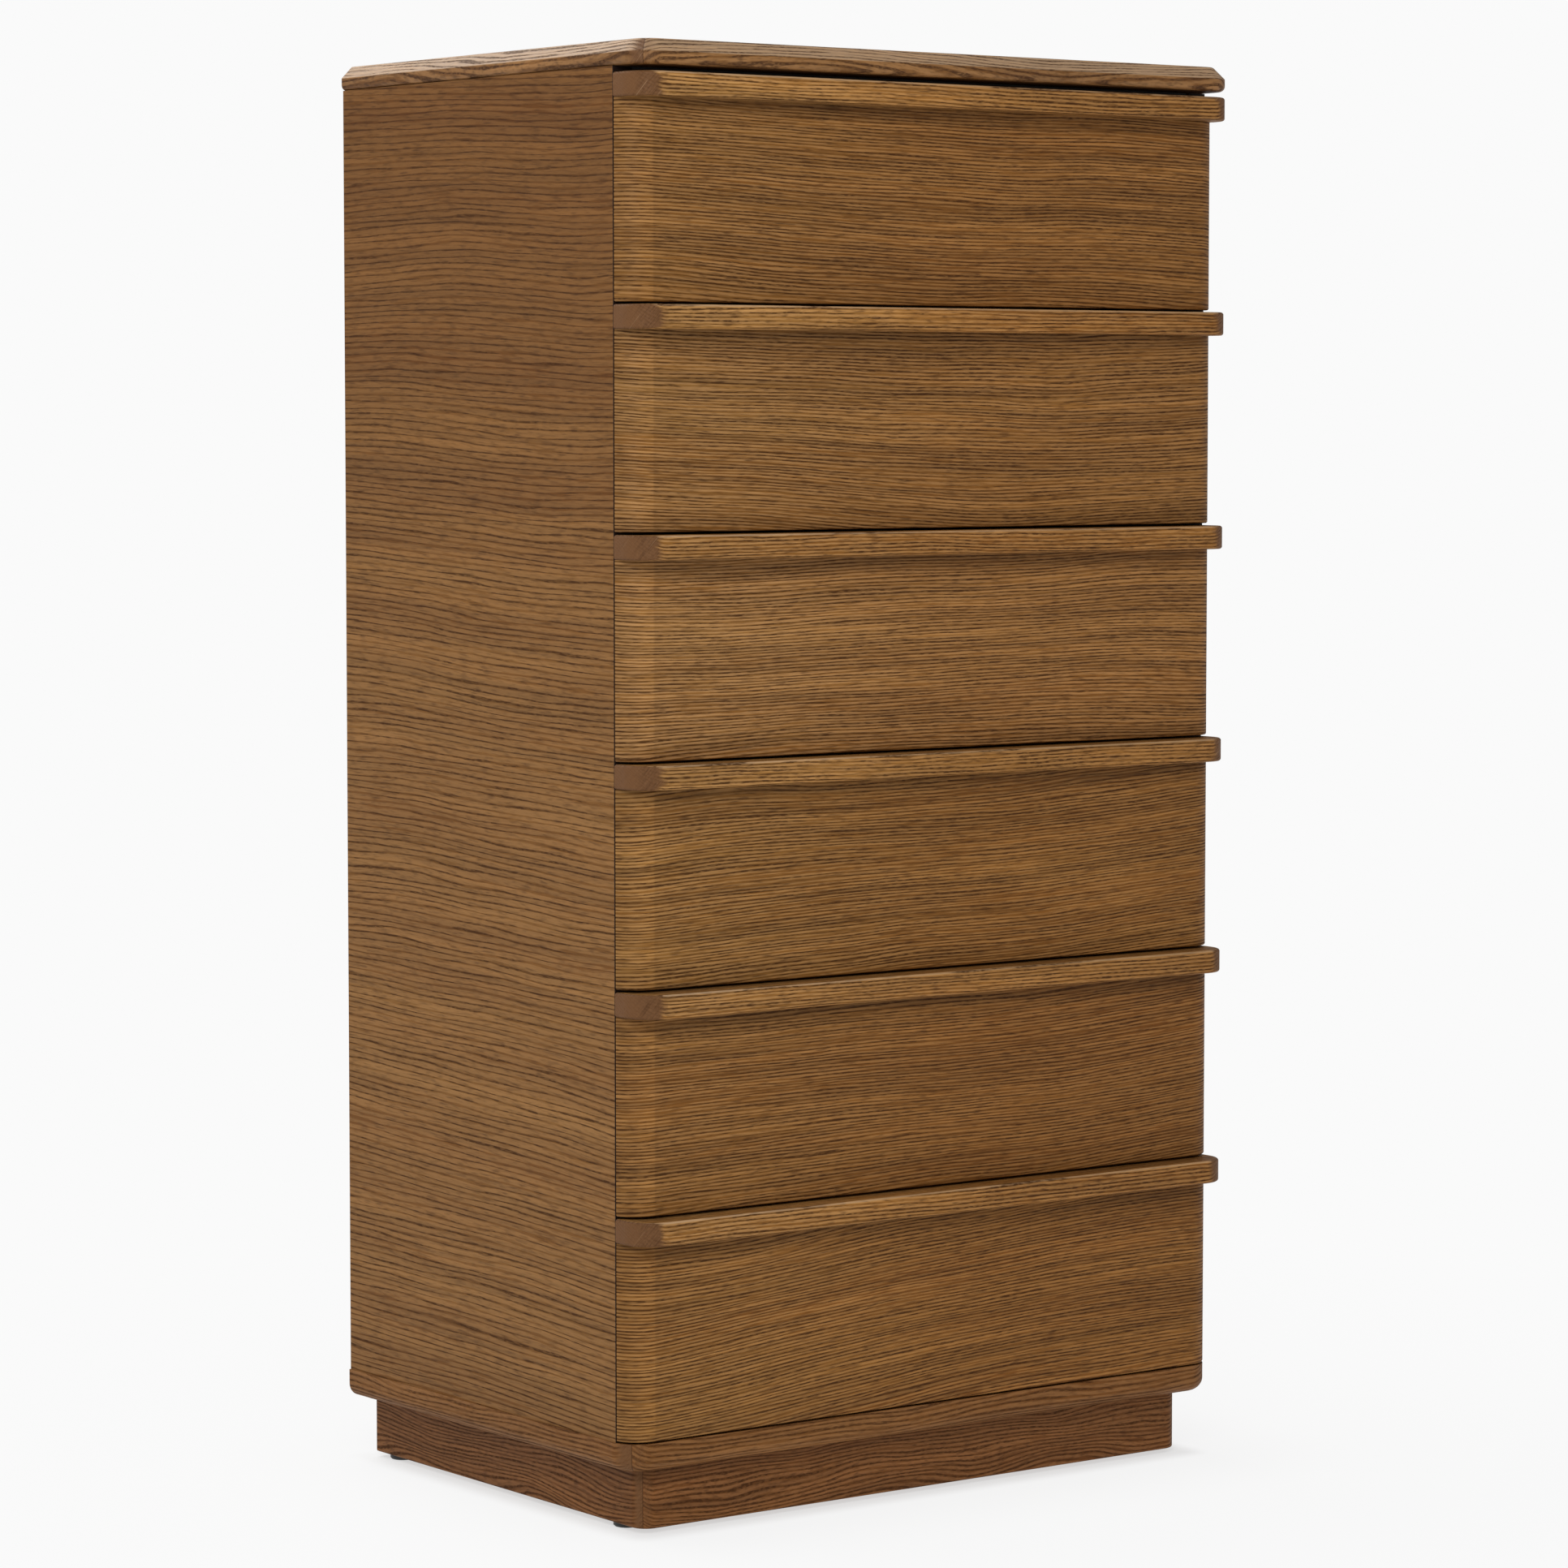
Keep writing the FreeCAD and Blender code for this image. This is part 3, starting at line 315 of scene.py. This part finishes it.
# %% A finish for one board
def oak(name, cut, year=0.0031, seed=(0.0, 0.0, 0.0), wander=0.03, lean=0.0, run=1.0,
        solid=None, deep=0.88, tone=(1.0, 1.0, 1.0), gloss=0.50, shine=0.12, even=0.0,
        top_shade=None, right_shade=None, edge_highlight=0.0, swirl=0.0, thin=0.0, sharp=1.0, turned=None,
        calm=1.0):
    """A stained oak finish.

    `cut` turns x, y, z into along, side, up and says which way the grain runs.
    `lean` tips the rows, `wander` makes them drift and `swirl` bends them into
    arches. `thin` and `sharp` make the lines finer, `even` and a low `calm`
    quiet them, and `deep` is how dark they are. `solid` is the heart of the
    tree as (side, up, sway), for a board sawn near it; None is veneer. `edge_highlight` is
    how pale the eased edges that face partly up are painted: a painted
    highlight where light falls on them. Four settings hold slow changes of tone
    that are fitted: `tone` tints the whole piece, and the other three are
    painted shade and light. `top_shade` is the height towards which a side darkens
    with painted shade, and its lines grow fainter; `right_shade` is how far across a
    front the painted shade has darkened fully; and `turned` is the height of
    the lip over a front, for the painted highlight and shade round its bent
    ends and the painted shade in the band below the lip.
    """
    material, shader, spot, (x, y, z) = new_finish(name)
    along, side, up, ends, seam, edge = cut(x, y, z)
    place = join(spot, along, side, up)
    height = rise(place, (along, side, up), seed, lean, wander, swirl, solid)
    line, glow, thread, hair, zone, band = grow(place, height, year, seed, run, solid is None,
                                                thin, sharp, calm)
    speck = step(hair, 0.50, 0.72)
    warm, pale, gold = (tuple(c * t for c, t in zip(colour, tone))
                        for colour in (WARM, PALE, GOLD))
    body = blend(step(zone, 0.28, 0.74), warm, pale)
    body = blend(glow * 0.60 * (1.0 - even), body, gold)
    body = blend(step(thread, 0.48, 0.75) * 0.45 * (1.0 - even) + speck * 0.26, body, DARK)
    body = dim(body, 1.0 - (band - 0.5) * (1.12 - even))
    # painted highlight: faces tilted partly up, the lips' rounded upper edge and the top's
    # bevel, are painted pale where light falls on them
    if edge_highlight:
        up_face = faces(x, UP)
        lit_edge = step(up_face, 0.20, 0.55) * (1.0 - step(up_face, 0.90, 0.99))
        body = blend(lit_edge * edge_highlight, body, HIGHLIGHT_PALE)
    # the lines grow fainter towards the top of a side, with the painted shade there
    fade = 1.0 if top_shade is None else 1.0 - step(z, top_shade - 0.45, top_shade + 0.15) * 0.25
    body = blend(line * deep * fade, body, DARK)
    body = painted_light_tones(body, x, z, right_shade, turned, top_shade)
    # painted shadow: the side panel's front edge and arris are black for the gap beside the
    # fronts
    if edge is not None:
        body = blend(edge, body, GAP_SHADOW_BLACK)
    groove = line * 0.8 + speck * 0.2
    if ends is not None:
        body = blend(ends, body, end_grain(spot, place, (x, y, z), seed, line, solid))
    if seam is not None:
        body = blend(seam * 0.85, body, DARK)
        groove = groove.most(seam)
    feed(shader, Base_Color=body, Roughness=gloss + line * 0.20 + hair * 0.08,
         Specular_IOR_Level=shine, Normal=bump(1.0 - groove, 0.0004, 0.55))
    return material

# %% [markdown]
# ## Which way the grain runs
#
# Veneer on the fronts is bent round the ends with the front, so it has no end
# grain. Solid pieces do show it, where the face turns square to the grain. The
# edge strips and the plinth boards are mitred, so the grain changes direction
# at the mitre: left and right of that line it runs front to back.

# %% Cuts: along, side, up, then masks for end grain, mitre seam and the painted gap shadow on an edge
SIDE_PANEL_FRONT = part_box("right_side_panel")[0].y


def across(x, y, z):
    return x, y, z, None, None, None


def front_to_back(x, y, z):
    return y, x, z, None, None, None


def side_veneer(x, y, z):
    """Front to back, with the front edge and its arris black: a painted line, about a
    millimetre wide, that stands for the shadow in the narrow gap beside the fronts."""
    arris = (1.0 - step(y, SIDE_PANEL_FRONT + 0.0007, SIDE_PANEL_FRONT + 0.0011)) * 0.9
    front_edge = step(0.0 - faces(x, BACK), 0.70, 0.90)
    return y, x, z, None, None, front_edge.most(arris)


def lying(x, y, z):
    """A board that lies flat: its rows are spread from front to back."""
    return x, z, y + z * 1.1, None, None, None


def solid_across(face):
    """A piece that runs across, its front at y = face; side is the depth below it."""
    def cut(x, y, z):
        ragged = noise(stretch(join(x, x, y, z), (40.0, 40.0, 190.0)), 2.0) - 0.5
        square = step(abs(faces(x, RIGHT)) + ragged * 0.60, 0.05, 0.34)
        return x, y - face, z, square, None, None
    return cut


def mitred(corner_x, corner_y, inner=0.030):
    """Front strip across, side strips back; the mitre runs in from the corner.

    Anything further in than `inner` is a board that runs across at the back.
    """
    def cut(x, y, z):
        from_front = y - corner_y
        from_side = corner_x - abs(x)
        past = from_front - from_side
        back = step(past, -0.0001, 0.0001) * (1.0 - step(from_side, inner, inner + 0.0002))
        along = x * (1 - back) + (y + x * 3.0) * back
        side = from_front * (1 - back) + from_side * back
        square = abs(faces(x, RIGHT)) * (1 - back) + abs(faces(x, BACK)) * back
        ragged = noise(stretch(join(x, x, y, z), (60.0, 60.0, 240.0)), 2.0) - 0.5
        shown = step(square + ragged * 0.4, 0.12, 0.50) * (0.35 + 0.60 * back)
        seam = 1.0 - step(abs(past), 0.0001, 0.0006)
        return along, side, z, shown, seam, None
    return cut

# %% [markdown]
# ## Boards of oak
#
# Every part gets a finish of its own cut: the veneer of the sides runs front to
# back, the fronts and their lips run across, and each drawer is shifted to
# another place in the wood, so no two fronts match.

# %% Dress the oak parts
def wear(names, material):
    for name in names:
        for slot in nodes[name].material_slots:
            slot.material = material


# the sides darken towards the top with painted shade
wear(["left_side_panel", "right_side_panel"],
     oak("side veneer", side_veneer, year=0.0058, seed=(3.1, 0.4, 7.7), wander=0.04,
         lean=-0.02, run=0.75, sharp=3.0, thin=0.01, calm=0.85, even=0.30, deep=0.86,
         tone=(0.82, 0.79, 0.77), top_shade=1.10))
wear(["top_panel", "bottom_panel"],
     oak("board veneer", lying, year=0.0042, seed=(1.0, 5.0, 2.0), wander=0.06,
         run=0.8, swirl=0.02, tone=(0.92, 0.90, 0.90)))

# %% Dress the fronts and their lips, each drawer from another place in the wood
DRAWERS = range(1, 7)
LEAN = {1: -0.05, 2: -0.02, 3: -0.03, 4: -0.02, 5: 0.02, 6: 0.02}
TONE = {1: (0.92, 0.87, 0.76), 2: (0.90, 0.85, 0.76), 3: (0.96, 0.95, 0.88),
        4: (1.05, 1.06, 1.12), 5: (0.96, 0.96, 0.97), 6: (0.90, 0.87, 0.82)}
RIGHT_SHADE_FROM = 0.10
for n in DRAWERS:
    lip_low, lip_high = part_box(f"drawer_{n}_lip")
    # each front: painted shade towards its right, painted highlight and shade round its ends,
    # painted shade below its lip
    wear([f"drawer_{n}_front"],
         oak(f"front veneer {n}", across, year=0.0031, seed=(n * 1.71, n * 0.37, n * 2.93),
             wander=0.05, lean=LEAN[n], run=0.8, right_shade=RIGHT_SHADE_FROM, tone=TONE[n],
             turned=lip_low.z))
    heart = (0.12, (lip_low.z + lip_high.z) / 2 - 0.13, 0.05)
    # each lip: painted shade towards its right, and a painted highlight on its rounded upper
    # edge
    wear([f"drawer_{n}_lip"],
         oak(f"solid lip {n}", solid_across(lip_low.y), year=0.0024,
             seed=(n * 0.91, n * 4.1, n), wander=0.02, solid=heart, right_shade=RIGHT_SHADE_FROM,
             edge_highlight=0.40, tone=(1.10, 1.10, 1.06)))
print("fronts and lips of", len(DRAWERS), "drawers dressed")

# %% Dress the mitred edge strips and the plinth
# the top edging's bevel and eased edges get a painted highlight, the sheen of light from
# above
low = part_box("top_edging")[0]
wear(["top_edging"],
     oak("solid top edging", mitred(-low.x, low.y), year=0.0040, run=1.3,
         seed=(4.0, 2.0, 9.0), solid=(-0.10, low.z - 0.09, 0.06), shine=0.22,
         deep=0.85, tone=(0.76, 0.70, 0.66), edge_highlight=0.36, swirl=0.005))
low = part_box("bottom_edging")[0]
wear(["bottom_edging"],
     oak("solid bottom edging", mitred(-low.x, low.y), year=0.0036,
         seed=(2.0, 7.0, 5.0), solid=(0.10, low.z - 0.09, 0.06), swirl=0.016,
         tone=(0.75, 0.66, 0.63), deep=0.76, even=0.3))
PLINTH_STRIP = 0.0212     # as far in from the side as the plinth's side boards reach
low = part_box("plinth")[0]
wear(["plinth"],
     oak("solid plinth", mitred(-low.x, low.y, PLINTH_STRIP), year=0.0030, run=1.3,
         seed=(6.0, 3.0, 1.0), solid=(0.10, -0.09, 0.06), swirl=0.030,
         tone=(0.57, 0.45, 0.41)))
print("oak parts dressed")

# %% [markdown]
# ## Birch inside
#
# The drawer boxes and the rails are pale birch, which is diffuse-porous: its
# vessels are too small to see, so it shows a soft figure and short flecks. The
# rails' front edges are painted black as shadow, so the gaps between drawers
# stay as dark as deep shade.

# %% Birch
FIBRE, BIRCH_FLECK = (0.430, 0.270, 0.135), (0.250, 0.135, 0.060)
RAIL_GAP_SHADOW = (0.010, 0.0060, 0.0040)
# painted shadow: the rails are black from their front edge to here
RAIL_SHADOW_TO = -0.172     # the rails are black from their front edge to here


def birch(name, cut, pale=(0.640, 0.470, 0.290), warm=(0.520, 0.350, 0.190),
          shadow_before=None):
    """Clear-lacquered birch: close grain, short brown flecks, no rows of vessels."""
    material, shader, spot, (x, y, z) = new_finish(name)
    along, side, up = cut(x, y, z)[:3]
    place = join(spot, along, side, up)
    figure = noise(stretch(place, (3.0, 26.0, 26.0)), 3.0)
    fibre = noise(stretch(place, (22.0, 420.0, 420.0)), 2.0)
    fleck = step(noise(stretch(place, (60.0, 700.0, 700.0)), 1.0), 0.62, 0.72)
    body = blend(step(figure, 0.30, 0.70), warm, pale)
    body = blend(step(fibre, 0.35, 0.75) * 0.30, body, FIBRE)
    body = blend(fleck * 0.35, body, BIRCH_FLECK)
    # painted shadow in the gaps between drawers: the rail's front edge is black
    if shadow_before is not None:
        black = 1.0 - step(y + fibre * 0.004, shadow_before, shadow_before + 0.004)
        body = blend(black, body, RAIL_GAP_SHADOW)
    feed(shader, Base_Color=body, Roughness=fibre * 0.12 + 0.42, Specular_IOR_Level=0.30,
         Normal=bump(1.0 - fibre * 0.5 - fleck * 0.3, 0.0002, 0.35))
    return material


wear(["case_rails"],
     birch("birch rail, front edge painted shadow", across, shadow_before=RAIL_SHADOW_TO))
for n in DRAWERS:
    wear([f"drawer_{n}_box_sides"], birch(f"birch drawer side {n}", front_to_back))
    wear([f"drawer_{n}_box_ends"], birch(f"birch drawer end {n}", across))
    wear([f"drawer_{n}_bottom"],
         birch(f"birch plywood {n}", lying, (0.600, 0.445, 0.280), (0.500, 0.345, 0.195)))
print("drawer boxes and rails dressed")

# %% [markdown]
# ## Board, steel and plastic
#
# The back is thin fibreboard with a brown lacquer: felted fibres, no grain.
# The runners are zinc-plated strip, which comes off the bath with a faint
# spangle and is scratched lengthwise by rolling. Screws are turned, so they
# are brighter. The glides are moulded with a fine pebbled skin.

# %% Back board, runners, screws and glides
def fibreboard():
    material, shader, spot, _ = new_finish("brown lacquered fibreboard")
    felt = noise(stretch(spot, (260.0, 260.0, 260.0)), 4.0, 0.7)
    cloud = noise(stretch(spot, (5.0, 5.0, 5.0)), 3.0)
    thread = step(noise(stretch(spot, (90.0, 90.0, 700.0)), 2.0), 0.56, 0.70)
    body = blend(step(felt * 0.7 + cloud * 0.3, 0.34, 0.66), (0.078, 0.0370, 0.0165),
                 (0.150, 0.0780, 0.0370))
    body = blend(thread * 0.35, body, (0.215, 0.130, 0.0700))
    feed(shader, Base_Color=body, Roughness=felt * 0.2 + 0.55, Specular_IOR_Level=0.15,
         Normal=bump(felt, 0.0003, 0.4))
    return material


def zinc_strip():
    material, shader, spot, _ = new_finish("zinc-plated strip")
    spangle = noise(stretch(spot, (140.0, 140.0, 140.0)), 2.0)
    rolled = noise(stretch(spot, (900.0, 9.0, 900.0)), 2.0)
    body = blend(step(spangle, 0.30, 0.70), (0.585, 0.598, 0.612), (0.650, 0.660, 0.668))
    body = blend(step(rolled, 0.55, 0.70) * 0.30, body, (0.480, 0.486, 0.492))
    feed(shader, Base_Color=body, Roughness=0.30 + spangle * 0.05 + rolled * 0.10,
         Metallic=1.0, Normal=bump(rolled, 0.0001, 0.3))
    return material


def turned_steel():
    material, shader, spot, _ = new_finish("turned steel screw")
    lathe = noise(stretch(spot, (1500.0, 1500.0, 1500.0)), 1.0)
    dull = noise(stretch(spot, (200.0, 200.0, 200.0)), 2.0)
    feed(shader, Base_Color=blend(dull, (0.600, 0.590, 0.560), (0.760, 0.750, 0.720)),
         Roughness=0.20 + lathe * 0.15 + dull * 0.08, Metallic=1.0,
         Normal=bump(lathe, 0.0001, 0.3))
    return material


def pebbled_plastic():
    material, shader, spot, _ = new_finish("black pebbled plastic")
    pebble = noise(stretch(spot, (1100.0, 1100.0, 1100.0)), 1.0)
    dust = noise(stretch(spot, (80.0, 80.0, 80.0)), 3.0)
    feed(shader, Base_Color=blend(dust, (0.008, 0.008, 0.008), (0.024, 0.023, 0.021)),
         Roughness=0.42 + dust * 0.18, Specular_IOR_Level=0.45,
         Normal=bump(pebble, 0.0002, 0.4))
    return material


SLOTS = {"back_board": fibreboard(), "runner_steel": zinc_strip(),
         "screw_steel": turned_steel(), "glide_plastic": pebbled_plastic()}
for name, part in nodes.items():
    for slot in part.material_slots:
        if slot.material and slot.material.name.split(".")[0] in SLOTS:
            slot.material = SLOTS[slot.material.name.split(".")[0]]
print(sorted({slot.material.name for part in nodes.values() for slot in part.material_slots}))

# %% [markdown]
# ## The floor and the backdrop
#
# The chest stands in a white studio whose floor and wall can't be told apart.
# A curved sheet of paper could do that, but its bend would show from other
# sides. Here a dome that only the camera sees is the wall, and the floor glows
# with the dome's own white from a metre away. Nearer it glows less and takes some
# of the real shadow. The shade right at the plinth is partly painted: the glow
# drops with the distance from the plinth's outline.

# %% Floor
WHITE = 0.956


def stage_piece(name, maker, **size):
    maker(**size)
    piece = bpy.context.object
    piece.name = name
    material, shader, spot, parts = new_finish(name)
    piece.data.materials.append(material)
    feed(shader, Specular_IOR_Level=0.0)
    return piece, shader, spot, parts


floor, paint, spot, (x, y, z) = stage_piece("floor", bpy.ops.mesh.primitive_plane_add,
                                            size=80.0)
foot_low, foot_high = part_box("plinth")
out_x = (abs(x) - foot_high.x).most()
out_y = abs(y - (foot_low.y + foot_high.y) / 2) - (foot_high.y - foot_low.y) / 2
out_y = out_y.most()
away = (out_x * out_x + out_y * out_y) ** 0.5
# the glow grows in three rings round the plinth: contact, soft shade, open floor
glow = 0.62 + step(away, 0.0, 0.030) * 0.26 + step(away, 0.0, 0.18) * 0.07
glow = glow + step(away, 0.1, 1.0) * 0.05
mottle = noise(stretch(spot, (9.0, 9.0, 9.0)), 3.0) * 0.02
feed(paint, Base_Color=blend(glow, (0.86, 0.86, 0.86), (0.0, 0.0, 0.0)),
     Emission_Color=blend(glow, (0.0, 0.0, 0.0), (WHITE, WHITE, WHITE)),
     Emission_Strength=1.0, Roughness=0.8 + mottle)

# %% Dome
dome, paint, spot, _ = stage_piece("dome", bpy.ops.mesh.primitive_uv_sphere_add,
                                   radius=38.0)
feed(paint, Base_Color=(0.0, 0.0, 0.0, 1.0), Emission_Color=(WHITE, WHITE, WHITE, 1.0),
     Emission_Strength=1.0)
for ray in ("diffuse", "glossy", "transmission", "volume_scatter", "shadow"):
    setattr(dome, f"visible_{ray}", False)
print("floor and dome up")

# %% [markdown]
# ## Light
#
# One big soft key stands to the front left and above, so the rounded ends of
# the fronts catch it and the lips throw a soft shade below them. A flat panel
# overhead lights the top, a fainter one high behind gives the bevel its sheen,
# and a dim sky fills the rest.

# %% Sky and soft boxes
world = bpy.data.worlds.new("studio")
world.use_nodes = True
sky = world.node_tree.nodes["Background"]
sky.inputs["Color"].default_value = (1.0, 1.0, 1.0, 1.0)
sky.inputs["Strength"].default_value = 0.50
bpy.context.scene.world = world


def softbox(name, spot, aim, size, power):
    light = bpy.data.lights.new(name, "AREA")
    light.shape, light.size, light.size_y = "RECTANGLE", *size
    light.energy = power
    lamp = bpy.data.objects.new(name, light)
    lamp.location = spot
    lamp.rotation_mode = "QUATERNION"
    lamp.rotation_quaternion = (Vector(aim) - Vector(spot)).to_track_quat("-Z", "Y")
    bpy.context.scene.collection.objects.link(lamp)


softbox("key", (-2.3, -2.5, 2.4), (0.0, 0.0, 0.7), (1.6, 1.6), 62.0)
softbox("top panel", (-0.6, 1.5, 3.3), (0.0, 0.0, 1.2), (2.6, 1.8), 50.0)
softbox("back panel", (-0.4, 3.4, 3.7), (0.0, 0.0, 1.2), (3.0, 1.8), 26.0)
